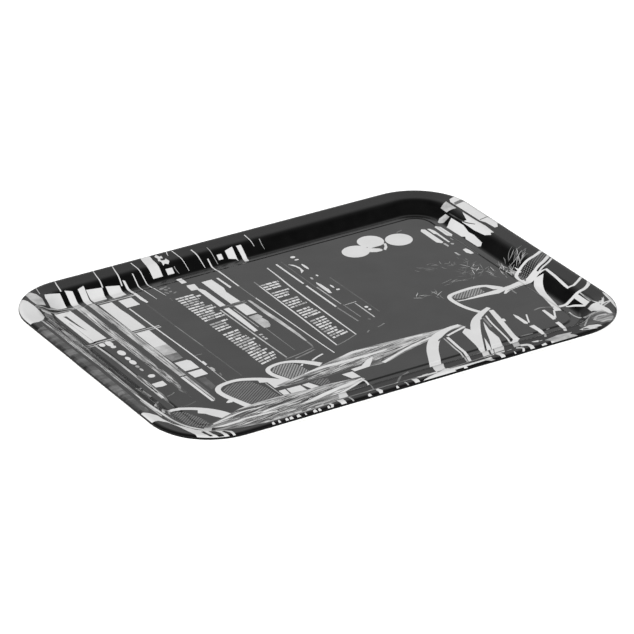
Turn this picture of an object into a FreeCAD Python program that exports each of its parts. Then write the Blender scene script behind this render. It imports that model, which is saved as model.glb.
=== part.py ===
import FreeCAD, Part
import math
import os
import Sketcher

# Serving tray, hot-pressed from one stack of bonded sheets.
# The decorated face sheet, five veneer plies and the white backing sheet are pressed
# together over one mould, so they share one section at different depths, and each is
# bonded all over to the next. The cut edge of the stack is closed by a white bead.
# Frame: +X along the long sides, +Y along the short sides, +Z up.
# Origin: centre of the tray, on the plane that its foot ring rests on.

doc = FreeCAD.newDocument("serving_tray")

# ---------------------------------------------------------------- driving dimensions
sheet = doc.addObject("Spreadsheet::Sheet", "Dimensions")
DIMENSIONS = [
    # outline of the pressed stack, before the sealing bead
    ("half_length", 229.4),
    ("half_width", 165.4),
    ("corner_radius", 56.9),
    # section through the rim, on the upper surface of the face sheet
    ("lip_radius", 6.5),
    ("lip_reach", 3.3),
    ("flange_width", 11.16),
    ("flange_angle", 4.5),
    ("shoulder_radius", 14.0),
    ("wall_angle", 40.0),
    ("wall_length", 8.75),
    ("foot_radius", 6.0),
    ("ring_width", 5.0),
    ("step_radius", 5.0),
    ("step_angle", 18.2),
    # sheets, from the top down
    ("face_thick", 0.35),
    ("ply_thick", 0.40),
    ("backing_thick", 0.35),
    # sealing bead on the cut edge
    ("bead_land", 0.20),
    ("bead_bulge", 0.40),
]
for row, (alias, value) in enumerate(DIMENSIONS, start=1):
    sheet.set("A%d" % row, alias)
    sheet.set("B%d" % row, "%g" % value)
    sheet.setAlias("B%d" % row, alias)
doc.recompute()


class Size:
    """A length with the expression that keeps it bound to the sheet."""

    def __init__(self, number, text):
        self.number = number
        self.text = text

    def __add__(self, other):
        other = size(other)
        return Size(self.number + other.number, "(%s + %s)" % (self.text, other.text))

    def __sub__(self, other):
        other = size(other)
        return Size(self.number - other.number, "(%s - %s)" % (self.text, other.text))

    def __mul__(self, other):
        other = size(other)
        return Size(self.number * other.number, "(%s * %s)" % (self.text, other.text))

    def __truediv__(self, other):
        other = size(other)
        return Size(self.number / other.number, "(%s / %s)" % (self.text, other.text))


def size(value):
    return value if isinstance(value, Size) else Size(float(value), "%g" % value)


def sine(angle):
    return Size(math.sin(math.radians(angle.number)), "sin(%s)" % angle.text)


def cosine(angle):
    return Size(math.cos(math.radians(angle.number)), "cos(%s)" % angle.text)


def root(value):
    return Size(math.sqrt(value.number), "sqrt(%s)" % value.text)


DIM = {alias: Size(value, "Dimensions.%s" % alias) for alias, value in DIMENSIONS}

# Thickness of the whole stack: one face sheet, five plies and one backing sheet.
PLIES = 5
STACK = DIM["face_thick"] + DIM["ply_thick"] * PLIES + DIM["backing_thick"]

# ---------------------------------------------------------------- section of the stack
# Every boundary between sheets is the upper surface moved down by one depth, square to
# the surface. u counts from the centre of the shoulder bend towards the tray's middle.
SIN_F, COS_F = sine(DIM["flange_angle"]), cosine(DIM["flange_angle"])
SIN_W, COS_W = sine(DIM["wall_angle"]), cosine(DIM["wall_angle"])
SIN_S, COS_S = sine(DIM["step_angle"]), cosine(DIM["step_angle"])
LIP_SHIFT = DIM["shoulder_radius"] - DIM["lip_radius"]
LIP_U = LIP_SHIFT * SIN_F - DIM["flange_width"] * COS_F
EDGE_U = LIP_U - DIM["lip_reach"]
SHOULDER_X = DIM["half_length"] + EDGE_U


def boundary(depth):
    """Points (x, z) and arcs of one boundary, from the cut edge to the raised floor."""
    lip = DIM["lip_radius"] - depth
    shoulder = DIM["shoulder_radius"] - depth
    foot = DIM["foot_radius"] + depth
    rise = DIM["step_radius"] + depth
    crown = DIM["step_radius"] - depth

    # centres of the arcs, the same for every depth; the ring's underside is at zero
    bends = DIM["shoulder_radius"] + DIM["foot_radius"]
    foot_u = bends * SIN_W + DIM["wall_length"] * COS_W
    foot_z = STACK + DIM["foot_radius"]
    shoulder_z = foot_z - bends * COS_W + DIM["wall_length"] * SIN_W
    lip_z = shoulder_z + DIM["flange_width"] * SIN_F + LIP_SHIFT * COS_F
    rise_u = foot_u + DIM["ring_width"]
    rise_z = foot_z - DIM["foot_radius"] + DIM["step_radius"]
    crown_u = rise_u + DIM["step_radius"] * SIN_S * 2
    crown_z = rise_z - DIM["step_radius"] * COS_S * 2

    points = [
        (EDGE_U, lip_z + root(lip * lip - DIM["lip_reach"] * DIM["lip_reach"])),
        (LIP_U + lip * SIN_F, lip_z + lip * COS_F),
        (shoulder * SIN_F, shoulder_z + shoulder * COS_F),
        (shoulder * SIN_W, shoulder_z + shoulder * COS_W),
        (foot_u - foot * SIN_W, foot_z - foot * COS_W),
        (foot_u, foot_z - foot),
        (rise_u, rise_z - rise),
        (rise_u + rise * SIN_S, rise_z - rise * COS_S),
        (crown_u, crown_z + crown),
    ]
    # one entry for each pair of points: None for a straight run, else the arc
    arcs = [
        (LIP_U, lip_z, lip),
        None,
        (size(0), shoulder_z, shoulder),
        None,
        (foot_u, foot_z, foot),
        None,
        (rise_u, rise_z, rise),
        (crown_u, crown_z, crown),
    ]
    at = [(SHOULDER_X - u, z) for u, z in points]
    arcs = [arc and (SHOULDER_X - arc[0],) + arc[1:] for arc in arcs]
    return at, arcs


def vec(point):
    return FreeCAD.Vector(point[0].number, point[1].number, 0.0)


def arc_between(first, last, arc):
    cx, cz, radius = arc
    centre = FreeCAD.Vector(cx.number, cz.number, 0.0)
    middle = (vec(first) + vec(last)) * 0.5 - centre
    middle.normalize()
    return Part.Arc(vec(first), centre + middle * radius.number, vec(last))


def origin_plane(body, role):
    return [item for item in body.Origin.OriginFeatures if item.Role == role][0]


def new_sketch(body, name, role):
    sketch = body.newObject("Sketcher::SketchObject", name)
    sketch.AttachmentSupport = [(origin_plane(body, role), "")]
    sketch.MapMode = "FlatFace"
    return sketch


def bind(sketch, kind, args, length, name):
    """Adds a dimension and binds it to the sheet."""
    number = sketch.addConstraint(Sketcher.Constraint(kind, *args, length.number))
    sketch.renameConstraint(number, name)
    sketch.setExpression("Constraints.%s" % name, length.text)


def place(sketch, geometry, vertex, point, name):
    """Fixes one vertex of the sketch at point."""
    for kind, length, tag in (("DistanceX", point[0], "x"), ("DistanceY", point[1], "z")):
        if abs(length.number) < 1e-6:
            axis = -2 if kind == "DistanceX" else -1
            sketch.addConstraint(Sketcher.Constraint("PointOnObject", geometry, vertex, axis))
        else:
            bind(sketch, kind, (-1, 1, geometry, vertex), length, "%s_%s" % (name, tag))


def draw_section(sketch, runs):
    """Draws a closed loop of runs (first, last, arc or None) with every size bound."""
    shapes = [
        Part.LineSegment(vec(first), vec(last)) if arc is None else arc_between(first, last, arc)
        for first, last, arc in runs
    ]
    sketch.addGeometry(shapes, False)
    ends = []
    for index, (first, last, arc) in enumerate(runs):
        near = sketch.getPoint(index, 1).distanceToPoint(vec(first)) < 1e-6
        ends.append((1, 2) if near else (2, 1))
    for index, (first, last, arc) in enumerate(runs):
        following = (index + 1) % len(runs)
        sketch.addConstraint(
            Sketcher.Constraint("Coincident", index, ends[index][1], following, ends[following][0])
        )
        place(sketch, index, ends[index][0], first, "point_%d" % index)
        if arc is not None:
            bind(sketch, "Radius", (index,), arc[2], "radius_%d" % index)


def draw_outline(sketch, half_x, half_y, radius):
    """Draws a rounded rectangle about the origin with its sizes bound."""
    x, y, r = half_x.number, half_y.number, radius.number
    a, b = x - r, y - r
    point = FreeCAD.Vector
    axis = point(0, 0, 1)
    quarter = math.pi / 2
    shapes = [
        Part.LineSegment(point(x, -b, 0), point(x, b, 0)),
        Part.ArcOfCircle(Part.Circle(point(a, b, 0), axis, r), 0, quarter),
        Part.LineSegment(point(a, y, 0), point(-a, y, 0)),
        Part.ArcOfCircle(Part.Circle(point(-a, b, 0), axis, r), quarter, 2 * quarter),
        Part.LineSegment(point(-x, b, 0), point(-x, -b, 0)),
        Part.ArcOfCircle(Part.Circle(point(-a, -b, 0), axis, r), 2 * quarter, 3 * quarter),
        Part.LineSegment(point(-a, -y, 0), point(a, -y, 0)),
        Part.ArcOfCircle(Part.Circle(point(a, -b, 0), axis, r), 3 * quarter, 4 * quarter),
    ]
    sketch.addGeometry(shapes, False)
    for index in range(8):
        sketch.addConstraint(Sketcher.Constraint("Tangent", index, 2, (index + 1) % 8, 1))
    for index in (0, 4):
        sketch.addConstraint(Sketcher.Constraint("Vertical", index))
    for index in (2, 6):
        sketch.addConstraint(Sketcher.Constraint("Horizontal", index))
    for index in (3, 5, 7):
        sketch.addConstraint(Sketcher.Constraint("Equal", 1, index))
    sketch.addConstraint(Sketcher.Constraint("Symmetric", 0, 1, 4, 1, -1, 1))
    bind(sketch, "DistanceX", (-1, 1, 0, 1), half_x, "half_x")
    bind(sketch, "DistanceY", (-1, 1, 2, 1), half_y, "half_y")
    bind(sketch, "Radius", (1,), radius, "radius")


def sweep_round(body, name, runs):
    """Sweeps a section once round the outline of the stack."""
    spine = new_sketch(body, name + "_path", "XY_Plane")
    draw_outline(spine, DIM["half_length"], DIM["half_width"], DIM["corner_radius"])
    profile = new_sketch(body, name + "_section", "XZ_Plane")
    draw_section(profile, runs)
    doc.recompute()
    pipe = body.newObject("PartDesign::AdditivePipe", name + "_rim")
    pipe.Profile = profile
    pipe.Spine = spine
    return pipe


def pressed_sheet(name, label, top, bottom):
    """One sheet of the stack: its rim is swept, and its floor is a flat plate."""
    body = doc.addObject("PartDesign::Body", name)
    body.Label = label
    upper, upper_arcs = boundary(top)
    lower, lower_arcs = boundary(bottom)
    count = len(upper_arcs)
    runs = [(upper[i], upper[i + 1], upper_arcs[i]) for i in range(count)]
    runs.append((upper[-1], lower[-1], None))
    runs += [(lower[i + 1], lower[i], lower_arcs[i]) for i in reversed(range(count))]
    runs.append((lower[0], upper[0], None))
    sweep_round(body, name, runs)

    inset = DIM["half_length"] - upper[-1][0]
    plate = new_sketch(body, name + "_plate", "XY_Plane")
    plate.AttachmentOffset = FreeCAD.Placement(
        FreeCAD.Vector(0, 0, lower[-1][1].number), FreeCAD.Rotation()
    )
    plate.setExpression("AttachmentOffset.Base.z", lower[-1][1].text)
    draw_outline(
        plate, DIM["half_length"] - inset, DIM["half_width"] - inset, DIM["corner_radius"] - inset
    )
    doc.recompute()
    pad = body.newObject("PartDesign::Pad", name + "_floor")
    pad.Profile = plate
    pad.Length = (upper[-1][1] - lower[-1][1]).number
    pad.setExpression("Length", (upper[-1][1] - lower[-1][1]).text)
    body.Tip = pad
    doc.recompute()
    return body


# ---------------------------------------------------------------- the sheets
depth = size(0)
pieces = []
stack = [("face", "decor_face_sheet", "face_thick")]
stack += [("ply%d" % n, "core_ply_%d" % n, "ply_thick") for n in range(1, PLIES + 1)]
stack += [("backing", "backing_sheet", "backing_thick")]
for name, label, thick in stack:
    below = depth + DIM[thick]
    pieces.append(pressed_sheet(name, label, depth, below))
    depth = below

# ---------------------------------------------------------------- the edge bead
# A bead of white sealer round the cut edge, flat where it is bonded and rounded outside.
edge_top = boundary(size(0))[0][0]
edge_low = boundary(depth)[0][0]
land = DIM["bead_land"]
height = edge_top[1] - edge_low[1]
bulge = DIM["bead_bulge"]
bead_radius = (height * height / 4 + bulge * bulge) / (bulge * 2)
bead_centre = (edge_top[0] + land + bulge - bead_radius, (edge_top[1] + edge_low[1]) / 2)
outer_top = (edge_top[0] + land, edge_top[1])
outer_low = (edge_low[0] + land, edge_low[1])

bead = doc.addObject("PartDesign::Body", "bead")
bead.Label = "edge_seal_bead"
sweep = sweep_round(
    bead,
    "bead",
    [
        (edge_top, outer_top, None),
        (outer_top, outer_low, bead_centre + (bead_radius,)),
        (outer_low, edge_low, None),
        (edge_low, edge_top, None),
    ],
)
bead.Tip = sweep
pieces.append(bead)
doc.recompute()

# ---------------------------------------------------------------- checks and files
for item in doc.Objects:
    bad = [word for word in item.State if word in ("Invalid", "Error")]
    if bad:
        raise RuntimeError("%s is %s" % (item.Label, bad))
for body in pieces:
    shape = body.Shape
    if shape.isNull() or not shape.isValid() or len(shape.Solids) != 1:
        raise RuntimeError("%s has no single valid solid" % body.Label)

os.makedirs("parts", exist_ok=True)
for body in pieces:
    body.Placement = FreeCAD.Placement()
    box = body.Shape.BoundBox
    print(
        "%-18s volume %9.1f  x %.2f..%.2f  y %.2f..%.2f  z %.3f..%.3f"
        % (body.Label, body.Shape.Volume, box.XMin, box.XMax, box.YMin, box.YMax, box.ZMin, box.ZMax)
    )
    body.Shape.exportStep("parts/%s.step" % body.Label)
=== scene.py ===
import math
import random

import bpy
from mathutils import Matrix, Vector
from mathutils.geometry import delaunay_2d_cdt


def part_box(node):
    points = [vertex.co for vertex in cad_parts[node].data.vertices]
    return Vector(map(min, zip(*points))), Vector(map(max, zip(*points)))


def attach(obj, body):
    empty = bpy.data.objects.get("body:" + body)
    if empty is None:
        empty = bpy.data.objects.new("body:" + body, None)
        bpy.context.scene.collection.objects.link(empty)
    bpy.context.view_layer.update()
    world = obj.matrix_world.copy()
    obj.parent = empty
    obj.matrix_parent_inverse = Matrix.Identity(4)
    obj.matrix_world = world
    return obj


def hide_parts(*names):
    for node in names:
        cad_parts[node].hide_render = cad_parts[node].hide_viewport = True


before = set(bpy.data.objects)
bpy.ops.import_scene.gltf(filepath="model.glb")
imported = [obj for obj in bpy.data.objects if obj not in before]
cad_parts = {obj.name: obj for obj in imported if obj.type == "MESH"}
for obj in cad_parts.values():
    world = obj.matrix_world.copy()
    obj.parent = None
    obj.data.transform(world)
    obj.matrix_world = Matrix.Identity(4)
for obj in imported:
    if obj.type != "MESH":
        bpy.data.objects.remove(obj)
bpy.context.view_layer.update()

MM = 0.001
scene = bpy.context.scene

# ------------------------------------------------------------------ section of the tray
# The face sheet's upper surface, in millimetres. s is the distance in from the cut edge.
low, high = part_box("decor_face_sheet")
HL, HW = high.x / MM, high.y / MM
CR = 56.9
LIP_R, LIP_REACH, FLANGE_W, FLANGE_A = 6.5, 3.3, 11.16, math.radians(4.5)
SHOULDER_R, FOOT_R, STEP_R = 14.0, 6.0, 5.0
WALL_A, STEP_A, WALL_L, RING_W = math.radians(40.0), math.radians(18.2), 8.75, 5.0
RING_Z = 2.7
SHEET_T = 0.35

# u counts from the centre of the shoulder bend, s from the cut edge
LIP_U = (SHOULDER_R - LIP_R) * math.sin(FLANGE_A) - FLANGE_W * math.cos(FLANGE_A)
EDGE_U = LIP_U - LIP_REACH
FOOT_U = (SHOULDER_R + FOOT_R) * math.sin(WALL_A) + WALL_L * math.cos(WALL_A)
FOOT_Z = RING_Z + FOOT_R
SHOULDER_Z = FOOT_Z - (SHOULDER_R + FOOT_R) * math.cos(WALL_A) + WALL_L * math.sin(WALL_A)
LIP_Z = SHOULDER_Z + FLANGE_W * math.sin(FLANGE_A) + (SHOULDER_R - LIP_R) * math.cos(FLANGE_A)
U0 = LIP_U + LIP_R * math.sin(FLANGE_A)
U1 = SHOULDER_R * math.sin(FLANGE_A)
U2 = SHOULDER_R * math.sin(WALL_A)
U3 = FOOT_U - FOOT_R * math.sin(WALL_A)
U4 = FOOT_U
U5 = U4 + RING_W
U6 = U5 + STEP_R * math.sin(STEP_A)
U7 = U6 + STEP_R * math.sin(STEP_A)
CROWN_Z = RING_Z + STEP_R - 2 * STEP_R * math.cos(STEP_A)


def section(s):
    """Height and slope dz/ds of the upper surface at inset s."""
    u = s + EDGE_U
    if u < U0:
        r = math.sqrt(LIP_R**2 - (u - LIP_U) ** 2)
        return LIP_Z + r, -(u - LIP_U) / r
    if u < U1:
        t = math.tan(FLANGE_A)
        return SHOULDER_Z + SHOULDER_R / math.cos(FLANGE_A) - u * t, -t
    if u < U2:
        r = math.sqrt(SHOULDER_R**2 - u * u)
        return SHOULDER_Z + r, -u / r
    if u < U3:
        t = math.tan(WALL_A)
        return SHOULDER_Z + SHOULDER_R * math.cos(WALL_A) - (u - U2) * t, -t
    if u < U4:
        r = math.sqrt(max(FOOT_R**2 - (u - U4) ** 2, 1e-12))
        return FOOT_Z - r, (u - U4) / r
    if u < U5:
        return RING_Z, 0.0
    if u < U6:
        r = math.sqrt(STEP_R**2 - (u - U5) ** 2)
        return RING_Z + STEP_R - r, (u - U5) / r
    if u < U7:
        r = math.sqrt(STEP_R**2 - (u - U7) ** 2)
        return CROWN_Z + r, -(u - U7) / r
    return CROWN_Z + STEP_R, 0.0


def inset(x, y):
    """Distance in from the cut edge, and the direction in which it grows."""
    dx, dy = abs(x) - (HL - CR), abs(y) - (HW - CR)
    sx, sy = math.copysign(1.0, x), math.copysign(1.0, y)
    if dx > 0 and dy > 0:
        d = math.hypot(dx, dy)
        return CR - d, (-sx * dx / d, -sy * dy / d)
    if HL - abs(x) < HW - abs(y):
        return HL - abs(x), (-sx, 0.0)
    return HW - abs(y), (0.0, -sy)


def surface(x, y):
    """Height and unit normal of the upper surface at (x, y)."""
    s, g = inset(x, y)
    z, slope = section(max(s, 0.0))
    n = Vector((-slope * g[0], -slope * g[1], 1.0)).normalized()
    return z, n


def ring_line(s, per_corner=44, step=16.0):
    """The closed line at inset s, anticlockwise."""
    hx, hy, r = HL - s, HW - s, CR - s
    a, b = hx - r, hy - r
    out = []
    sides = [((hx, -b), (hx, b)), ((a, hy), (-a, hy)), ((-hx, b), (-hx, -b)), ((-a, -hy), (a, -hy))]
    corners = [(a, b, 0.0), (-a, b, 0.5), (-a, -b, 1.0), (a, -b, 1.5)]
    for (p, q), (cx, cy, start) in zip(sides, corners):
        n = max(1, round(math.dist(p, q) / step))
        out += [(p[0] + (q[0] - p[0]) * i / n, p[1] + (q[1] - p[1]) * i / n) for i in range(n)]
        for i in range(per_corner):
            t = (start + 0.5 * i / per_corner) * math.pi
            out.append((cx + r * math.cos(t), cy + r * math.sin(t)))
    return out


RINGS = [0.0]
LIP_A = math.asin(LIP_REACH / LIP_R)
RINGS += [LIP_REACH + LIP_R * math.sin((LIP_A + FLANGE_A) * k / 8 - LIP_A) for k in range(1, 9)]
RINGS += [-EDGE_U + (U0 + U1) / 2]
RINGS += [SHOULDER_R * math.sin(FLANGE_A + (WALL_A - FLANGE_A) * k / 9) - EDGE_U for k in range(0, 10)]
RINGS += [-EDGE_U + (U2 + U3) / 2]
RINGS += [U4 - FOOT_R * math.sin(WALL_A * k / 9) - EDGE_U for k in range(9, -1, -1)]
RINGS += [U5 - EDGE_U]
RINGS += [U5 + STEP_R * math.sin(STEP_A * k / 4) - EDGE_U for k in range(1, 5)]
RINGS += [U7 - STEP_R * math.sin(STEP_A * k / 4) - EDGE_U for k in range(3, -1, -1)]

# ------------------------------------------------------------------ the print
# A generic cafe terrace, drawn in plan in millimetres. Later shapes lie over earlier ones.
BLACK, WHITE, PALE, MID, DIM, CANE, CANE_LIGHT, GRAIN, GRAIN_DARK, MOTTLE = range(10)
PRINT = []
rng = random.Random(485)


def fill(tone, *points):
    PRINT.append((tone, [(float(x), float(y)) for x, y in points]))


def box(tone, x0, y0, x1, y1, lean=0.0):
    """An upright block; lean shifts its top sideways."""
    fill(tone, (x0, y0), (x1, y0), (x1 + lean, y1), (x0 + lean, y1))


def curve(points, steps=9):
    """A smooth line through the points."""
    if len(points) < 3:
        return list(points)
    p = [points[0]] + list(points) + [points[-1]]
    out = []
    for i in range(1, len(p) - 2):
        a, b, c, d = p[i - 1], p[i], p[i + 1], p[i + 2]
        for k in range(steps):
            t = k / steps
            out.append(
                tuple(
                    0.5
                    * (
                        2 * b[j]
                        + (c[j] - a[j]) * t
                        + (2 * a[j] - 5 * b[j] + 4 * c[j] - d[j]) * t * t
                        + (3 * b[j] - a[j] - 3 * c[j] + d[j]) * t**3
                    )
                    for j in range(len(b))
                )
            )
    out.append(tuple(points[-1]))
    return out


def stroke(tone, points, width, smooth=True):
    """A line of points (x, y) or (x, y, width)."""
    pts = [tuple(p) if len(p) == 3 else (p[0], p[1], width) for p in points]
    if smooth:
        pts = curve(pts)
    left, right = [], []
    for i, (x, y, w) in enumerate(pts):
        a, b = pts[max(i - 1, 0)], pts[min(i + 1, len(pts) - 1)]
        dx, dy = b[0] - a[0], b[1] - a[1]
        d = math.hypot(dx, dy) or 1.0
        left.append((x - dy / d * w / 2, y + dx / d * w / 2))
        right.append((x + dy / d * w / 2, y - dx / d * w / 2))
    # one short piece at a time, so that a tight bend can't turn the outline inside out
    for i in range(len(pts) - 1):
        fill(tone, left[i], left[i + 1], right[i + 1], right[i])


def disc(tone, cx, cy, rx, ry=None, n=44, turn=0.0):
    ry = ry or rx
    c, s = math.cos(turn), math.sin(turn)
    ring = []
    for i in range(n):
        t = 2 * math.pi * i / n
        x, y = rx * math.cos(t), ry * math.sin(t)
        ring.append((cx + x * c - y * s, cy + x * s + y * c))
    fill(tone, *ring)




def inside(poly, x, y):
    hit = False
    for (ax, ay), (bx, by) in zip(poly, poly[1:] + poly[:1]):
        if (ay > y) != (by > y) and x < (bx - ax) * (y - ay) / (by - ay) + ax:
            hit = not hit
    return hit


def streaks(poly, count, angle, shortest, longest, widest, tones):
    """Weathered boards: tapering streaks along one direction, kept inside the shape."""
    xs, ys = [p[0] for p in poly], [p[1] for p in poly]
    made = 0
    while made < count:
        x, y = rng.uniform(min(xs), max(xs)), rng.uniform(min(ys), max(ys))
        length = rng.uniform(shortest, longest)
        a = angle + rng.gauss(0.0, 0.035)
        w = widest * (0.25 + 0.75 * rng.random() ** 2)
        ex, ey = x + math.cos(a) * length, y + math.sin(a) * length
        made += 0.2
        if not (inside(poly, x, y) and inside(poly, ex, ey)):
            continue
        made += 0.8
        k = rng.uniform(0.25, 0.7)
        mx, my = x + (ex - x) * k, y + (ey - y) * k
        nx, ny = -math.sin(a) * w / 2, math.cos(a) * w / 2
        fill(rng.choice(tones), (x, y), (mx - nx, my - ny), (ex, ey), (mx + nx, my + ny))


def grass(cx, cy, rx, ry, count, length, tones, lean=None):
    """Loose dry blades."""
    for _ in range(count):
        t, r = rng.uniform(0, 2 * math.pi), math.sqrt(rng.random())
        x, y = cx + rx * r * math.cos(t), cy + ry * r * math.sin(t)
        a = rng.uniform(0, math.pi) if lean is None else lean + rng.gauss(0, 0.4)
        size = length * rng.uniform(0.4, 1.0)
        c, d = math.cos(a), math.sin(a)
        bow = size * rng.uniform(-0.09, 0.09)
        stroke(rng.choice(tones), curve([(x, y, 0.25), (x + c * size / 2 - d * bow, y + d * size / 2 + c * bow, 0.75), (x + c * size, y + d * size, 0.2)], 3),
               0.6, False)


def draw_far_rim():
    # pale awning corner over the far left corner
    fill(WHITE, (-240, 101.5), (-221, 101.5), (-215, 104.5), (-211.5, 109), (-210, 118), (-209.5, 130),
         (-210.6, 141), (-214, 148), (-217, 151), (-224, 160), (-240, 172))
    fill(PALE, (-206.5, 132), (-198, 132), (-196.5, 141), (-197.5, 150), (-203, 158), (-207, 153), (-207.5, 142))
    # panes that run up the wall
    fill(WHITE, (-193.5, 131.5), (-177.2, 131.5), (-177.2, 144.5), (-191.5, 146.4), (-193.5, 141))
    fill(WHITE, (-171.8, 131), (-165.2, 131), (-165, 143.6), (-171.8, 146))
    fill(WHITE, (-159.5, 127), (-153.8, 127), (-152.8, 145.8), (-159.5, 144))
    fill(WHITE, (-152.0, 128), (-139, 128), (-137, 140.6), (-152.5, 142))
    fill(WHITE, (-133.4, 126), (-120.3, 126), (-120.3, 138.8), (-133.4, 140.7))
    # slanting window bars on the rim
    for x0, y0, x1, y1, w in ((-194.5, 149, -190.5, 166, 0.9), (-175.2, 146, -171.0, 167, 1.5), (-136.4, 140.5, -132.6, 167, 1.3),
                              (-118.2, 138, -113.2, 167, 1.5), (-103.6, 145, -102.2, 104, 1.2), (-96.6, 160, -92.0, 106, 1.2),
                              (-62.6, 142, -60.8, 136, 1.0), (-53.4, 163, -50.6, 136, 1.1),
                              (-37.0, 156, -34.6, 135, 1.6), (-22.4, 153, -21.2, 135, 0.8), (19.4, 157, 20.2, 141, 1.2),
                              (28.4, 146, 28.8, 137, 0.8), (-57.0, 166, -60.6, 156, 1.2)):
        mid = ((x0 + x1) / 2 - 0.5, (y0 + y1) / 2)
        stroke(WHITE if w > 1.0 else PALE, [(x0, y0, w * 0.85), mid + (w * 0.7,), (x1, y1, w * 0.35)], w)
    # broad white posts and blocks over the rim
    fill(WHITE, (-86.8, 137), (-77.0, 137), (-76.6, 146), (-76.6, 156), (-74.6, 170), (-83.6, 170), (-86.0, 158), (-87.0, 147))
    fill(WHITE, (-72.4, 160), (-69.6, 162.6), (-68.2, 158.2), (-66.2, 158.8), (-66.8, 154.4), (-69.6, 155.0), (-70.4, 151.6), (-67.2, 150.8),
         (-65.2, 152.8), (-64.0, 148.0), (-66.6, 144.8), (-69.6, 146.4), (-72.0, 144.6), (-71.6, 149.6), (-73.2, 152.4), (-71.4, 155.8))
    box(WHITE, -71.8, 137, -65.0, 141.6)
    box(WHITE, -18.6, 137.8, -13.8, 142.0)
    fill(WHITE, (-9.0, 137), (-2.2, 135.4), (-1.0, 132.6), (-0.6, 145.4), (-9.2, 143.4))
    fill(WHITE, (3.0, 128.4), (7.0, 128), (8.6, 136), (8.4, 145), (3.4, 145), (4.2, 136))
    box(WHITE, -68.4, 118.4, -63.2, 129.4, 0.4)
    for x, y, a, b in ((-88.6, 119.4, 2.6, 1.6), (-84.0, 120.6, 2.2, 1.1), (-86.4, 115.6, 1.5, 2.0), (-82.4, 117.0, 1.1, 1.3),
                       (-88.8, 109.8, 1.2, 2.6), (-84.6, 110.4, 1.6, 1.2), (-82.2, 106.6, 2.2, 0.9)):
        disc(MID, x, y, a, b, 14, 0.4)


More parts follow.
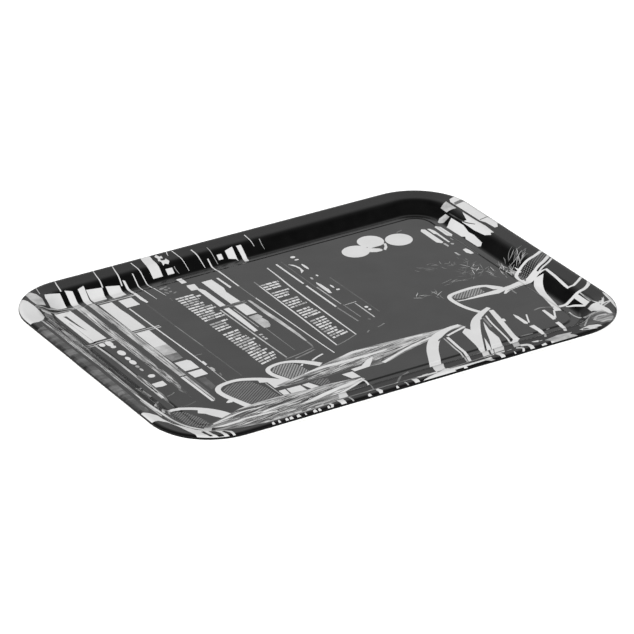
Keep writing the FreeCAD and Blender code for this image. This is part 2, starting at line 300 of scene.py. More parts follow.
def draw_facade():
    # cross bars of the windows
    stroke(PALE, [(-209, 131), (-199, 128.6), (-188, 130.8), (-172, 127.6)], 1.3)
    stroke(PALE, [(-209, 127), (-199, 125.4), (-188, 126.6), (-172, 125.0)], 1.0)
    stroke(MID, [(-152, 126.2), (-116, 123.6)], 2.2, False)
    stroke(PALE, [(-152, 122.4), (-114, 121.0)], 1.4, False)
    # first window and its latch
    fill(WHITE, (-193.6, 61), (-177.0, 61), (-177.8, 92), (-178.4, 124), (-193.8, 124.8))
    fill(WHITE, (-207, 124.6), (-197.4, 124.6), (-197.4, 121.2), (-206.4, 120.6))
    fill(BLACK, (-188.6, 118.0), (-186.2, 116.0), (-185.6, 98), (-184.6, 82), (-186.8, 94), (-188.0, 106))
    stroke(PALE, [(-190.2, 104), (-189.6, 62)], 0.8, False)
    # pillars, worn lengthwise
    post = [(-172.0, 131), (-165.0, 131), (-164.8, 60), (-165.4, -8), (-165.4, -30), (-166.6, -38), (-167.0, -50), (-169.4, -54), (-171.8, -36)]
    fill(PALE, *post)
    streaks(post, 46, math.pi / 2, 16, 60, 2.0, (MID, MID, DIM, WHITE))
    streaks(post, 26, math.pi / 2, 10, 34, 1.4, (BLACK, DIM, PALE))
    streaks([(-171.6, 10), (-165.4, 10), (-164.6, -34), (-166.0, -60), (-168.0, -88), (-171.0, -80)], 44, math.pi / 2, 6, 24, 2.6, (MID, DIM, DIM, BLACK))
    post = [(-159.5, 126), (-153.9, 126), (-152.6, 84), (-151.6, 20), (-152.6, -34), (-158.8, -34)]
    fill(PALE, *post)
    streaks(post, 44, math.pi / 2, 14, 60, 1.8, (MID, MID, WHITE, PALE))
    streaks(post, 22, math.pi / 2, 10, 40, 1.1, (BLACK, DIM, MID))
    fill(WHITE, (-159.4, -36), (-156.6, -36), (-156.2, -88), (-158.6, -87))
    fill(PALE, (-156.0, -36), (-153.6, -36), (-153.8, -84), (-155.4, -87))
    fill(DIM, (-153.0, -20), (-150.6, -20), (-151.2, -72), (-152.8, -72))
    # second window, in four lights
    fill(WHITE, (-151.8, 61), (-138.0, 61), (-138.4, 90), (-139.4, 104), (-139.2, 119.6), (-151.6, 119.6))
    fill(WHITE, (-151.0, 55), (-138.2, 55), (-138.2, 24), (-151.0, 24))
    fill(PALE, (-151.0, 24), (-138.2, 24), (-138.4, 6), (-151.0, 6))
    fill(MID, (-151.0, 6), (-138.4, 6), (-139.4, -5.8), (-150.6, -6.6))
    fill(WHITE, (-150.4, -10.2), (-138.6, -10.6), (-136.4, -14), (-136.6, -28.6), (-150.2, -28.4))
    fill(WHITE, (-149.8, -31.6), (-136.2, -31.6), (-136.0, -42.6), (-149.2, -42.8))
    fill(DIM, (-148.4, -46), (-141.0, -46), (-142.0, -66), (-148.0, -69))
    # third window
    box(WHITE, -133.0, 102.6, -120.0, 118.6, 0.0)
    # cross bars half way down
    for dy in (0, -3.0):
        stroke(PALE, [(-199.6, 57.6 + dy), (-172.4, 57.4 + dy)], 1.3, False)
        stroke(PALE, [(-152.6, 58.6 + dy), (-126.0, 58.2 + dy)], 1.3, False)
        stroke(MID, [(-60.6, 60.0 + dy), (-38.0, 60.0 + dy)], 1.1, False)
    # lower left window: bar, beads, sill
    stroke(PALE, [(-191.6, 56), (-190.2, 20), (-190.6, -60)], 1.9)
    disc(WHITE, -186.6, 51.6, 2.6, 3.4, 16)
    for x, y, a, b in ((-180.2, 50.6, 3.0, 5.4), (-180.0, 43.6, 2.4, 2.6), (-179.6, 30.0, 3.3, 5.2), (-180.2, 18.0, 2.1, 3.6),
                       (-180.0, 9.6, 2.7, 4.6), (-180.6, 0.6, 1.6, 2.6), (-180.4, -6.0, 1.2, 3.0), (-178.9, -20.6, 3.2, 3.0)):
        disc(WHITE if a > 2.0 else PALE, x, y, a, b, 20)
    fill(WHITE, (-186.4, -33.6), (-175.4, -33.2), (-175.6, -41.4), (-180.0, -42.4), (-186.2, -41.0))
    sill = [(-190.6, -14), (-187.6, -14), (-186.8, -30), (-187.2, -56), (-189.6, -70)]
    fill(MID, *sill)
    streaks(sill, 26, math.pi / 2, 6, 24, 1.6, (PALE, WHITE, DIM, BLACK))
    stroke(MID, [(-186, -60.0), (-181, -58.8), (-177.4, -56.6)], 1.1)
    stroke(MID, [(-190.2, -60), (-190.4, -78)], 0.9, False)
    stroke(DIM, [(-186, -82.6), (-178, -82.4), (-170, -80.0)], 1.1)
    # long glazing bars
    stroke(WHITE, [(-132.2, 100), (-131.4, 60), (-130.0, 8), (-129.6, -28)], 1.3)
    stroke(PALE, [(-129.6, -30), (-130.0, -64)], 0.9, False)
    fill(WHITE, (-130.4, -20), (-127.6, -20), (-127.8, -27), (-129.8, -27.6))
    fill(PALE, (-130.0, -33.4), (-127.4, -33.0), (-126.6, -37), (-128.0, -41.6), (-129.8, -42))
    fill(MID, (-127.4, -46), (-126.0, -47), (-127.6, -52), (-128.6, -51))
    stroke(MID, [(-129.4, -7.4), (-122.0, -8.0)], 0.8, False)
    fill(WHITE, (-115.6, 142), (-113.4, 141), (-112.2, 126), (-111.4, 103), (-113.6, 102), (-115.2, 110), (-114.8, 126))
    stroke(DIM, [(-115.0, 100), (-114.6, 40), (-113.4, -60)], 1.1)
    stroke(MID, [(-114.8, 50), (-113.6, 4)], 0.8, False)
    stroke(DIM, [(-91.6, 100), (-92.0, 94)], 1.0, False)


def ruled_board(x0, x1, top, bottom, pitch, rise, gaps):
    """Rows of plain broken bars, ragged at the right."""
    rows = int((top - bottom) / pitch)
    for i in range(rows):
        if i in gaps:
            continue
        y = top - i * pitch
        t = i / max(rows - 1, 1)
        tilt = rise * t
        length = (x1 - x0) * (0.62 + 0.38 * rng.random())
        at = x0 + 1.2 * rng.random() * t
        while at < x0 + length:
            w = 2.4 + 4.6 * rng.random()
            end = min(at + w, x0 + length)
            ya, yb = y + (at - x0) * tilt, y + (end - x0) * tilt
            h = 1.15 + 0.35 * rng.random()
            fill(WHITE if rng.random() > 0.35 else PALE, (at, ya - h), (end, yb - h), (end, yb + h * 0.9), (at, ya + h * 0.9))
            at = end + (0.5 if rng.random() < 0.6 else 1.0)


def draw_boards():
    ruled_board(-88.6, -65.2, 94.5, -56.0, 4.55, 0.26, (12, 17))
    # glazed door beside the first board
    fill(WHITE, (-68.0, 102.0), (-60.4, 101.0), (-59.0, 112.4), (-66.6, 113.4), (-67.6, 109.6))
    fill(WHITE, (-62.8, 61.4), (-57.0, 61.4), (-57.4, 96), (-59.4, 101.4), (-62.6, 101.4))
    fill(WHITE, (-62.4, 56), (-57.0, 56), (-56.8, 36), (-58.0, 4.8), (-62.0, 4.0))
    fill(WHITE, (-51.6, 61.4), (-42.0, 61.4), (-43.0, 84), (-40.8, 92), (-41.6, 112), (-52.0, 112))
    fill(WHITE, (-51.4, 56), (-41.4, 56), (-40.8, 50), (-41.0, 34.6), (-51.4, 34.8))
    fill(PALE, (-51.4, 31.6), (-42.0, 32), (-40.6, 26), (-42.4, 24), (-41.0, 16), (-43.0, 8.4), (-45.6, 5.2), (-50.8, 5.8))
    stroke(PALE, [(-65.6, 56), (-64.6, 0), (-63.4, -52)], 1.4)
    stroke(PALE, [(-54.6, 52), (-54.2, 10)], 0.7, False)
    for y in (-3, -8, -12):
        box(PALE, -61.6, y - 1.6, -58.0 - rng.random() * 2, y + 0.8)
    fill(WHITE, (-36.8, 112), (-34.8, 112), (-34.0, 90), (-36.4, 88.4))
    # the door's leading edge
    fill(PALE, (-35.6, 60), (-33.6, 58), (-31.2, 10), (-31.0, -20), (-32.0, -34), (-33.6, -34), (-34.6, 0), (-36.2, 30))
    fill(MID, (-33.6, -34), (-32.0, -34), (-32.4, -44), (-34.4, -49), (-34.0, -42))
    stroke(MID, [(-50.2, 4), (-50.4, -44)], 0.8, False)
    stroke(MID, [(-66, -54.4), (-50, -52.0), (-34, -48.0)], 1.2)
    stroke(MID, [(-58, -57.6), (-44, -54.4), (-35, -51.8)], 1.6)
    # frame post
    stroke(WHITE, [(-28.4, 141), (-27.6, 118), (-27.8, 88)], 1.4)
    stroke(MID, [(-27.6, 88), (-27.4, 60)], 0.8, False)
    stroke(WHITE, [(-27.2, 60), (-26.0, 10), (-24.8, -44), (-24.0, -66)], 1.1)
    # second board with its frame
    ruled_board(-10.8, 7.4, 78.0, -50.0, 4.6, 0.22, (3, 7, 12, 17))
    stroke(MID, [(-12.0, 88), (-12.2, 78)], 1.2, False)
    stroke(WHITE, [(-12.2, 78, 1.1), (-13.0, 20, 1.5), (-14.6, -55.0, 1.2)], 1.7)
    stroke(WHITE, [(12.6, 106, 1.0), (12.0, 84, 1.3), (10.8, 60, 1.6), (10.4, 0, 1.5), (10.4, -46.6, 1.1)], 1.8)
    stroke(MID, [(-14.4, -55.4), (-4, -52.2), (9.6, -46.8)], 1.0)
    # thin frames and fittings further along the facade
    stroke(WHITE, [(23.2, 108), (23.6, 62)], 1.8, False)
    stroke(WHITE, [(23.6, 57), (24.0, 8)], 1.9, False)
    stroke(MID, [(24.0, 6), (25.6, -26)], 1.5, False)
    stroke(DIM, [(29.6, 110), (29.2, 62), (29.8, 18)], 1.3)
    stroke(PALE, [(30.0, 50), (30.6, 10)], 1.0, False)
    stroke(MID, [(31.4, 8), (31.8, -20)], 0.9, False)
    fill(WHITE, (32.0, 102), (36.0, 99), (38.0, 92), (37.6, 84), (33.0, 80.4), (36.2, 88), (35.4, 95))
    fill(WHITE, (34.6, 58.6), (36.2, 52), (36.8, 40), (35.2, 32.6), (33.0, 34), (32.8, 46), (33.4, 56))
    fill(PALE, (35.2, 70), (36.8, 68), (35.8, 64.4), (34.2, 66))
    for x, y, a, b in ((43.6, 112.6, 2.4, 2.0), (43.8, 106.4, 2.2, 1.2), (43.0, 90.4, 1.3, 6.2), (42.6, 69.6, 1.0, 1.8),
                       (42.4, 44.0, 1.0, 3.6), (43.6, 36.0, 1.9, 1.5), (46.4, -6.4, 1.7, 1.9), (46.4, -12.0, 1.3, 1.6)):
        disc(WHITE, x, y, a, b, 16)
    stroke(PALE, [(32.4, 6.8), (44.6, 7.2)], 1.0, False)
    stroke(PALE, [(42.0, 5), (42.0, -27)], 1.2, False)
    stroke(DIM, [(50.2, 60), (51.4, -20)], 1.2, False)
    stroke(MID, [(35.0, -26.8), (36.6, -28.6)], 1.2, False)
    stroke(MID, [(20.6, -48.6), (24.4, -45.6)], 1.3, False)
    stroke(MID, [(34.0, -44.8), (42.6, -41.6)], 1.3, False)


def draw_lamps():
    # three globe lamps on one bracket
    disc(WHITE, 98.0, 92.6, 13.0, 12.0)
    disc(WHITE, 144.6, 93.0, 12.7, 12.4)
    stroke(BLACK, [(131.6, 103), (131.4, 95), (128.2, 86.6), (124.6, 81)], 1.4)
    disc(WHITE, 120.4, 103.0, 12.4, 12.2)
    fill(WHITE, (107.0, 90), (112, 94), (118, 92), (121, 84), (119.4, 81.4), (113.4, 81.8), (108.6, 84.6))
    fill(WHITE, (128.2, 94), (130.4, 92.4), (127.4, 85.4), (122.8, 80.8), (121.8, 83), (126.4, 88.6))
    fill(BLACK, (113.4, 91.2), (127.2, 91.6), (126.4, 89.4), (122.6, 88.2), (121.0, 83.6), (119.6, 86.8))
    fill(MID, (150.6, 105.8), (157.4, 107.6), (157.6, 108.8), (151.2, 107.4))
    # blinds and panes at the right, running up the end wall
    fill(WHITE, (170.8, 97), (173.6, 100.4), (176.4, 98), (176.2, 67.4), (173.6, 66.2), (170.4, 70))
    fill(WHITE, (178.6, 98.4), (181.0, 97), (182.4, 91), (181.4, 64.4), (179.8, 64.6), (179.8, 84), (178.2, 86.6))
    fill(WHITE, (186.4, 97.6), (189.0, 99.8), (192.2, 96), (192.4, 77.2), (189.0, 73.4), (186.2, 77.6))
    fill(PALE, (173.8, 65), (176.2, 64.6), (176.4, 59), (174.4, 56.8))
    fill(PALE, (180.2, 62.6), (183.2, 60.2), (180.8, 58.0), (179.6, 59.6))
    fill(MID, (185.4, 70.6), (186.8, 72), (186.6, 66), (185.4, 66.6))
    fill(WHITE, (182.4, 45.2), (186.0, 45.8), (187.2, 41), (186.8, 33.6), (183.6, 33.8), (181.6, 38.6))
    fill(PALE, (172.6, 44.4), (174.0, 43.8), (174.6, 36.4), (172.4, 37.6))
    fill(PALE, (195.2, 106), (199.4, 109.6), (204.6, 107.4), (204.6, 100.6), (198.4, 101.2), (195.4, 103.6))
    fill(WHITE, (196.2, 92.6), (201.0, 96), (204.6, 97.6), (205.0, 78), (203.0, 66.6), (203.4, 58), (202.0, 43.4), (199.4, 41.2),
         (197.4, 44), (197.2, 62.6), (199.0, 66), (196.8, 69))
    fill(PALE, (205.8, 117), (214.2, 121), (214.4, 104), (206.0, 107.6))
    fill(BLACK, (207.4, 102.6), (212.8, 102.6), (212.6, 93), (210.4, 86), (208.0, 93.4))
    fill(WHITE, (206.4, 83), (209.6, 80), (212.8, 90), (214.6, 94.6), (215.0, 73), (216.0, 58), (214.8, 43), (212.4, 45), (210.6, 41.6),
         (207.4, 47), (206.2, 62))
    stroke(DIM, [(206.4, 104), (207.4, 80), (210.8, 68)], 0.9)
    fill(WHITE, (216.8, 118), (219, 122.6), (240, 128), (240, 62), (227, 56), (223.6, 50), (220.6, 50.6), (219.8, 64), (217.6, 70))
    fill(MID, (217.2, 109.8), (240, 112), (240, 118), (218.2, 114.6))
    stroke(DIM, [(218.6, 71.6), (240, 73.6)], 1.2, False)


def draw_plants():
    grass(131, 33, 12, 7, 12, 12, (MID, DIM), -0.5)
    grass(160, 22, 16, 10, 20, 9, (MID, DIM))
    grass(166, 6, 15, 14, 30, 11, (PALE, MID, DIM))
    grass(160, -6, 10, 8, 10, 12, (MID, DIM))
    grass(188, -14, 12, 12, 26, 13, (PALE, MID, DIM), 1.2)
    grass(200, -6, 12, 9, 22, 17, (PALE, MID), 0.8)
    grass(198, -22, 7, 7, 12, 11, (PALE, WHITE), 1.9)
    grass(130, -4, 9, 4, 5, 14, (MID,), 0.1)
    grass(100, -14, 10, 3, 5, 13, (PALE, MID), 0.1)
    grass(113, -24, 4, 7, 5, 11, (PALE, MID), 1.3)


def draw_right_chairs():
    # small cane chair and round table
    disc(CANE_LIGHT, 139, -31.4, 18.4, 7.0, 40)
    fill(BLACK, (151.0, -28.6), (157.0, -27.4), (162.0, -34.0), (158.0, -38.2), (151.6, -37.6))
    stroke(WHITE, [(125.4, -67), (120.6, -56), (117.8, -44), (117.6, -33), (120.4, -27.4), (127, -25.2), (140, -24.0), (150, -24.4),
                   (158, -27.0), (164, -32.4), (168.6, -38.0)], 4.0)
    fill(WHITE, (157, -27.6), (163, -29.4), (170.4, -37.6), (166, -39.6), (160.6, -36.4))
    fill(WHITE, (118.6, -38.0), (128, -39.8), (146, -38.8), (162, -38.6), (178, -37.4), (190, -34.6), (206, -31.6), (207, -42),
         (196, -42.4), (184, -43.8), (172, -46.2), (165.4, -49.6), (163.6, -48.4), (168.4, -43.6), (160, -45.8), (150, -44.0), (134, -42.2), (122, -40.4))
    fill(BLACK, (168.8, -45.2), (184, -42.4), (195, -40.8), (184, -42.9), (172, -45.5))
    stroke(MID, [(173.4, -47), (173.4, -54)], 1.4, False)
    # large chair that runs over the rim at the right
    fill(CANE, (194.4, -38), (195.0, -27), (202, -20.6), (214, -19.0), (228, -14.4), (240, -8), (240, -20), (222, -29), (208, -33.0), (197.6, -33.6))
    stroke(WHITE, [(191.6, -38), (191.6, -30), (194.0, -23.6), (201.0, -18.6), (214, -17.6), (226, -13.4), (240, -5.6)], 3.2)
    stroke(WHITE, [(197, -37.2), (206, -35.0), (216, -31.4), (227, -25.0), (240, -15.6)], 3.4)
    stroke(WHITE, [(203, -41.2), (212, -38.2), (222, -33.6), (231, -27.4), (240, -20.6)], 2.0)
    stroke(WHITE, [(204.4, -43.6, 8.2), (198.4, -52, 7.6), (194.0, -64, 6.6), (190.6, -80, 6.0), (187.6, -94, 6.0), (185.0, -101.4, 6.2)], 6)
    stroke(WHITE, [(206.6, -41.4), (212.4, -43.2), (211.4, -58), (209.4, -76), (209.0, -82), (214.0, -83.4), (222.0, -79.0), (240, -67)], 2.5, False)
    stroke(WHITE, [(191, -94.4), (200, -95.2), (207, -95.6), (217, -94.6), (224.6, -90.4), (231, -83.6), (240, -78)], 3.4)
    stroke(WHITE, [(207.0, -95), (206.8, -115.4)], 4.0, False)
    stroke(PALE, [(211.2, -97), (209.8, -115)], 1.3, False)
    stroke(WHITE, [(196.2, -97.4), (200.6, -103), (205.0, -115)], 1.7)
    fill(PALE, (203.0, -120.4), (209.6, -120.4), (208.6, -130), (210.0, -142), (209.6, -150), (205.4, -147), (202.2, -138), (201.4, -128))
    stroke(PALE, [(192.4, -108), (192.0, -116), (194.2, -124)], 1.4)
    stroke(MID, [(211.0, -104), (211.6, -122)], 1.2, False)
    stroke(PALE, [(211.4, -131.4), (218, -128.6), (240, -122.0)], 1.6)
    fill(PALE, (212.6, -124.4), (214.6, -120.4), (218.0, -121.4), (220.2, -117.0), (221.4, -119.4), (217.4, -125.0))


def draw_left_chairs():
    # chair A, at the near left corner
    fill(CANE, (-215, -104), (-208, -93), (-200, -86.6), (-192, -88.0), (-187.4, -92), (-183.6, -100), (-180.6, -113), (-180, -121),
         (-190.4, -123.6), (-194.6, -134), (-203, -141), (-212, -131), (-216, -116))
    fill(BLACK, (-188, -91.4), (-178, -94), (-176, -100), (-166, -112), (-168, -117.4), (-180, -121), (-181.4, -108))
    stroke(WHITE, [(-211.6, -98.6, 2.0), (-207.0, -90.6, 2.8), (-200.0, -84.4, 3.6), (-193.0, -83.0, 4.0), (-185, -86.6, 4.2),
                   (-176.6, -92.0, 4.6), (-169, -98.8, 5.0), (-162.4, -107.4, 5.2), (-158.4, -115.6, 5.4)], 4)
    fill(WHITE, (-176.0, -92.0), (-169, -97.4), (-161.0, -106.6), (-157.0, -113.6), (-160, -115.4), (-166.6, -117.4), (-171.4, -110), (-174.6, -103.6),
         (-179.4, -99.4), (-177.0, -95.0))
    # chair B
    fill(CANE, (-141, -76), (-136, -71.6), (-128, -69.4), (-118, -70.6), (-112.6, -73.6), (-109, -80), (-106.4, -92), (-104.8, -108),
         (-118, -111.4), (-134, -110), (-138.6, -96), (-142, -84))
    fill(BLACK, (-112.6, -74), (-106.6, -76.4), (-101.6, -80), (-101.6, -94), (-100, -108), (-105.2, -109), (-107, -90))
    stroke(WHITE, [(-136.6, -111, 6.6), (-140.6, -98, 5.6), (-144.4, -84, 5.2), (-144.6, -74, 5.0), (-139.6, -67.8, 4.6), (-130, -65.4, 4.2),
                   (-120, -66.0, 4.4), (-110, -70.4, 4.8), (-101, -76.2, 5.2), (-93, -83.2, 5.4), (-86.4, -91.4, 5.2)], 5)
    fill(WHITE, (-106, -74.0), (-100, -74.6), (-93, -80.6), (-87, -89.4), (-86, -94.0), (-101.2, -94.6), (-101.4, -82.6), (-107.4, -79.6))
    fill(WHITE, (-149.6, -95.4), (-146.0, -92.8), (-142.8, -93.8), (-144.6, -97.8), (-148.8, -97.0))
    stroke(PALE, [(-103.4, -83), (-103.0, -108)], 0.9, False)
    fill(WHITE, (-101.4, -100.8), (-80.4, -101.6), (-79.8, -111.6), (-101.4, -109.6))
    stroke(BLACK, [(-94.4, -101), (-95.0, -110)], 1.3, False)
    fill(WHITE, (-78.8, -102.0), (-72.0, -101.6), (-67.6, -111.4), (-75.6, -111.8))
    # chair C
    fill(CANE_LIGHT, (-88, -67), (-83.4, -61.8), (-74, -60.6), (-66, -62.6), (-62.4, -68), (-60.6, -78), (-60, -86), (-70, -89), (-80, -91), (-84.4, -79))
    fill(BLACK, (-62.6, -67), (-57, -67.4), (-49, -80.6), (-60.4, -82.4), (-61.4, -74))
    stroke(WHITE, [(-82.4, -94, 6.0), (-87.0, -82, 5.0), (-90.4, -72, 4.6), (-89.6, -64, 4.2), (-84, -59.6, 3.8), (-74, -58.2, 3.6),
                   (-65, -60.4, 4.2), (-57.6, -65.0, 5.4), (-51, -71.6, 6.4), (-45.4, -78.6, 6.8)], 4.5)
    stroke(WHITE, [(-48, -68.4), (-41, -65.0), (-33.6, -62.6)], 1.8)
    fill(WHITE, (-61.8, -71.4), (-58.4, -68.8), (-57.8, -70.2), (-60.4, -72.6))
    fill(CANE, (-69.6, -101), (-60, -100.6), (-54, -103), (-56, -111), (-64.4, -112.4))


def draw_tables():
    # second table, further in
    fill(GRAIN, (-98, -92), (-84, -88.6), (-62, -84.4), (-45, -80.0), (-28, -76.0), (-10, -71.4), (6, -72.0), (30, -73.4), (56, -75.0), (80, -77.6),
         (97, -78.2), (99, -84), (88, -82.6), (68, -87.4), (44, -92.8), (20, -99.8), (6, -104.6), (-2, -105), (-12, -103.4), (-28, -104.0), (-28, -100.0),
         (-52, -99.4), (-78, -98.4), (-92, -97.0))
    fill(GRAIN_DARK, (-92, -94), (-70, -88.6), (-44, -86.0), (-18, -88.6), (-10, -89.4), (-16, -95), (-24, -99.6), (-52, -98.8), (-82, -97.6))
    board = [(-96, -92.4), (-84, -89.2), (-62, -85.0), (-45, -80.6), (-28, -76.6), (-10, -72.0), (6, -72.6), (30, -74.0), (56, -75.6), (80, -78.2),
             (96, -78.8), (96, -82), (88, -82.0), (68, -86.8), (44, -92.2), (20, -99.2), (6, -104.0), (-2, -104.4), (-12, -102.8), (-28, -103.4),
             (-28, -99.4), (-52, -98.8), (-78, -97.8), (-92, -96.4)]
    streaks(board, 150, 0.13, 8, 42, 1.9, (BLACK, BLACK, DIM, MID, PALE, WHITE))
    streaks(board, 110, 0.13, 6, 30, 1.2, (BLACK, WHITE, WHITE, PALE))
    stroke(WHITE, [(-66, -86.0, 1.4), (-48, -83.8, 3.4), (-24, -84.6, 3.6), (0, -85.0, 3.2), (18, -84.0, 1.6)], 3)
    stroke(WHITE, [(-26, -77.0, 1.0), (-12, -74.0, 3.6), (2, -74.2, 2.4), (14, -75.4, 1.0)], 3)
    stroke(WHITE, [(2, -103.6, 3.6), (18, -97.6, 2.8), (38, -91.0, 2.6), (58, -86.4, 1.8), (72, -83.2, 1.2)], 3)
    stroke(BLACK, [(3, -99.0), (20, -93.4), (40, -88.0), (58, -84.0)], 1.1)
    fill(WHITE, (-28.4, -99.6), (-17.6, -99.0), (-6, -91.0), (0, -89.4), (-4, -95), (-12, -103.6), (-27.6, -104.6))
    fill(WHITE, (40, -75.6), (60, -76.4), (58, -78.4), (42, -77.6))
    # first table, at the near rim
    fill(GRAIN, (-190, -123.4), (-176, -120.0), (-160, -115.6), (-146, -110.8), (-128, -109.2), (-108, -109.4), (-84, -111.4), (-60, -112.4),
         (-44, -114.2), (-28.6, -116.0), (-27.4, -121.0), (-34, -124.0), (-50, -129.0), (-62, -133.4), (-66, -142), (-70, -151), (-72, -158),
         (-96, -161), (-120, -161.4), (-150, -160.4), (-172, -156), (-194, -149.6), (-187, -138), (-178, -129.0))
    fill(GRAIN_DARK, (-166, -132), (-142, -129), (-120, -128.4), (-98, -131.4), (-118, -146), (-136, -156), (-164, -156), (-170, -146))
    fill(BLACK, (-163, -132), (-146, -129.6), (-142.6, -132), (-150.4, -142), (-154, -154), (-168.6, -152), (-165, -142))
    fill(GRAIN_DARK, (-150, -112.4), (-126, -113.6), (-100, -113.0), (-88, -117.6), (-106, -124), (-130, -121.4), (-148, -120.4), (-164, -123.0), (-158, -117.4))
    board = [(-188, -123.4), (-176, -120.6), (-160, -116.2), (-146, -111.4), (-128, -109.8), (-108, -110.0), (-84, -112.0), (-60, -113.0),
             (-44, -114.8), (-29.4, -116.6), (-28.4, -120.6), (-34, -123.4), (-50, -128.4), (-63, -133.0), (-67, -142), (-71, -150), (-73, -157),
             (-96, -160.4), (-120, -160.8), (-150, -159.8), (-172, -155.4), (-192, -149.6), (-186, -138), (-177, -129.0)]
    streaks(board, 330, 0.10, 8, 50, 2.2, (BLACK, BLACK, DIM, MID, PALE, WHITE))
    streaks(board, 240, 0.10, 6, 34, 1.3, (BLACK, WHITE, WHITE, PALE))
    stroke(WHITE, [(-178, -122.6, 1.2), (-162, -119.4, 2.2), (-146, -116.8, 1.6), (-134, -117.0, 0.8)], 2)
    stroke(WHITE, [(-180, -128.6, 2.4), (-160, -128.8, 3.0), (-148, -127.4, 2.0), (-132, -128.8, 2.6), (-120, -129.6, 1.4)], 2.4)
    stroke(WHITE, [(-98, -132.2, 2.4), (-80, -128.0, 4.0), (-58, -123.4, 3.6), (-40, -120.4, 2.6), (-29, -118.4, 2.0)], 3)
    stroke(WHITE, [(-66, -134.2, 3.4), (-52, -129.0, 2.4), (-38, -124.6, 1.8), (-30, -121.8, 1.2)], 2)
    stroke(BLACK, [(-96, -128.6), (-78, -123.0), (-60, -119.6)], 0.8)
    fill(PALE, (-190, -123.6), (-181.0, -125.6), (-183.4, -130.4), (-190.8, -142.6), (-196.0, -149.4), (-203.6, -147.0), (-196.0, -139.0), (-193.4, -129.6))
    stroke(BLACK, [(-180.6, -128.6), (-186.0, -136.4), (-192.6, -149.0)], 2.0)
    fill(WHITE, (-62.8, -133.0), (-56.4, -131.8), (-63.0, -144.6), (-66.6, -156.0), (-72.4, -158.4), (-75.8, -156.6), (-69.4, -144))
    fill(WHITE, (-40.2, -103.6), (-29.6, -103.6), (-28.8, -115.4), (-36.6, -114.4))
    stroke(WHITE, [(-30.6, -120.4), (-29.4, -126), (-30.6, -131.6)], 1.8)
    stroke(MID, [(-30.8, -132), (-37, -142), (-42.6, -158)], 1.2)
    stroke(MID, [(11.2, -128.6), (0.0, -133.8), (-6, -144), (-18, -156.6)], 1.8)


def draw_near_chairs():
    # two chair backs that run down over the near rim
    stroke(WHITE, [(96, -79.0, 4.2), (84, -80.0, 5.4), (70, -85.6, 8.4), (60, -93.6, 10.0), (50.6, -106, 10.4), (42.6, -121, 10.4), (32.0, -141, 10.0),
                   (25.4, -155, 9.6), (24.0, -169, 9.4)], 9)
    stroke(BLACK, [(94, -84.4), (80, -87.2), (68, -92.2), (64, -95.0)], 1.3)
    stroke(WHITE, [(98.6, -84.0), (88, -86.8), (76, -90.6)], 2.4)
    stroke(PALE, [(70.6, -93.4), (68.6, -112), (66.4, -130), (56.0, -147.6), (52.6, -157)], 1.4)
    stroke(WHITE, [(74.4, -93.0), (72.4, -112), (70.0, -130.6), (59.6, -146.6), (55.0, -157.6)], 2.7)
    fill(WHITE, (97.0, -86.4), (90.6, -92), (87.0, -118), (83.6, -132), (74.0, -146), (68.6, -158), (79.0, -158.4), (87.2, -144), (96.0, -128), (102.0, -108),
         (99.6, -92))
    stroke(WHITE, [(136.8, -64.4, 4.0), (124, -71.0, 6.0), (113, -80.0, 8.2), (104.6, -92.4, 9.4), (96, -109.6, 9.2), (88, -128, 7.0)], 8)
    fill(WHITE, (117.6, -84.4), (113.4, -100), (112.0, -117), (106, -132.6), (95.6, -148), (89.6, -158.6), (80.6, -157.0), (92.0, -137.0), (103.0, -115.6), (111.4, -96.4))
    stroke(BLACK, [(118.4, -80), (107.0, -98.0), (94.0, -122.0), (80.6, -148), (76.6, -158)], 1.8)
    stroke(BLACK, [(120.8, -77.4), (128, -73.4), (137.0, -69.2)], 1.2)
    stroke(WHITE, [(126.0, -76.0), (122.4, -90), (118.0, -118), (116.0, -127.6)], 1.6)
    stroke(MID, [(121.4, -78.6), (117.8, -97)], 2.0, False)
    stroke(WHITE, [(135.8, -69.4, 4.2), (132.6, -84, 5.2), (128.4, -102, 5.0), (124.0, -121, 5.0), (123.6, -128.0, 6.4)], 5)
    fill(WHITE, (136.4, -89.0), (133.6, -88.0), (132.6, -93.4), (135.4, -93.8))
    fill(WHITE, (125.6, -127.6), (121.0, -132.4), (114.4, -132.6), (114.6, -128.2), (118.0, -128.4), (121, -125.6))
    fill(PALE, (119.6, -133.0), (114.0, -133.4), (106.4, -144.0), (101.6, -155.4), (107.6, -155.8), (112.6, -144.6))
    # table legs
    fill(WHITE, (146.2, -92), (147.8, -86.0), (149.4, -92), (149.8, -106.0), (148.0, -108.6), (146.0, -106.4))
    stroke(WHITE, [(157.4, -92.6), (150.6, -106.8)], 1.4, False)
    fill(WHITE, (146.6, -112.8), (151.6, -112.8), (151.8, -126.4), (150.4, -131.8), (147.8, -132.0), (147.6, -124))
    stroke(PALE, [(149.6, -132), (142.0, -143.0), (135.8, -153)], 1.9)
    fill(WHITE, (173.4, -93.4), (176.0, -93.6), (176.0, -108.6), (174.4, -113.6), (171.4, -113.4), (171.8, -108))
    stroke(WHITE, [(182.6, -98.6), (175.4, -111.4)], 1.7, False)
    fill(WHITE, (169.6, -119.4), (173.6, -119.0), (172.8, -133.0), (169.4, -132.6))
    stroke(WHITE, [(170.6, -133), (162.0, -143.0), (157.0, -152.6)], 2.7)
    stroke(MID, [(129, -124.6), (142, -125.2)], 1.2, False)
    stroke(MID, [(156, -125.6), (159.4, -125.2)], 1.2, False)
    stroke(MID, [(168.0, -89.4), (176, -88.6), (186, -93.4)], 1.6)


